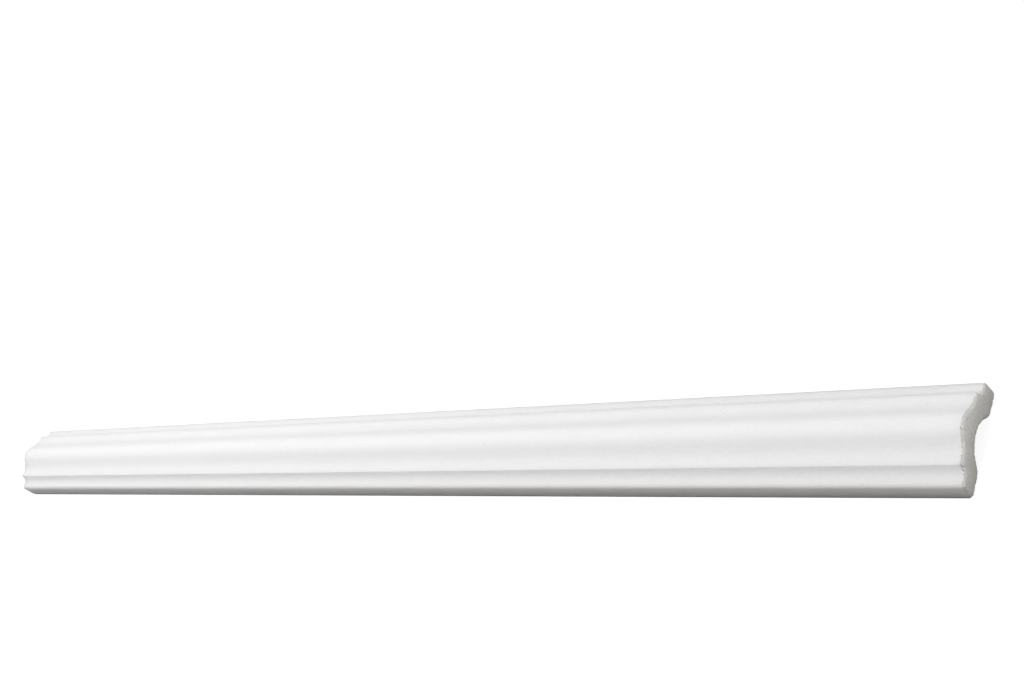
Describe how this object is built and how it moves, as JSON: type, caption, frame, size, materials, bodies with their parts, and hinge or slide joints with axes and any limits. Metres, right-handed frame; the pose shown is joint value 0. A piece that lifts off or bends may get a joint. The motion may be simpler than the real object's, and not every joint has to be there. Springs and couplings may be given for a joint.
{
  "type": "decorative moulding",
  "caption": "Straight length of white foam moulding: a rounded centre roll between flats, a cove down to a thin strip on each long edge, and a hollow back.",
  "frame": {"origin": "middle of the back plane, halfway along the length and the width", "axes": "+X along the length, +Y across the width, +Z out of the moulded face; it lies on its back"},
  "size_m": [0.6, 0.038, 0.0164],
  "materials": {
    "foam": "matte white, fine closed-cell foam"
  },
  "bodies": {
    "root": {"moulding": "foam"}
  },
  "joints": []
}
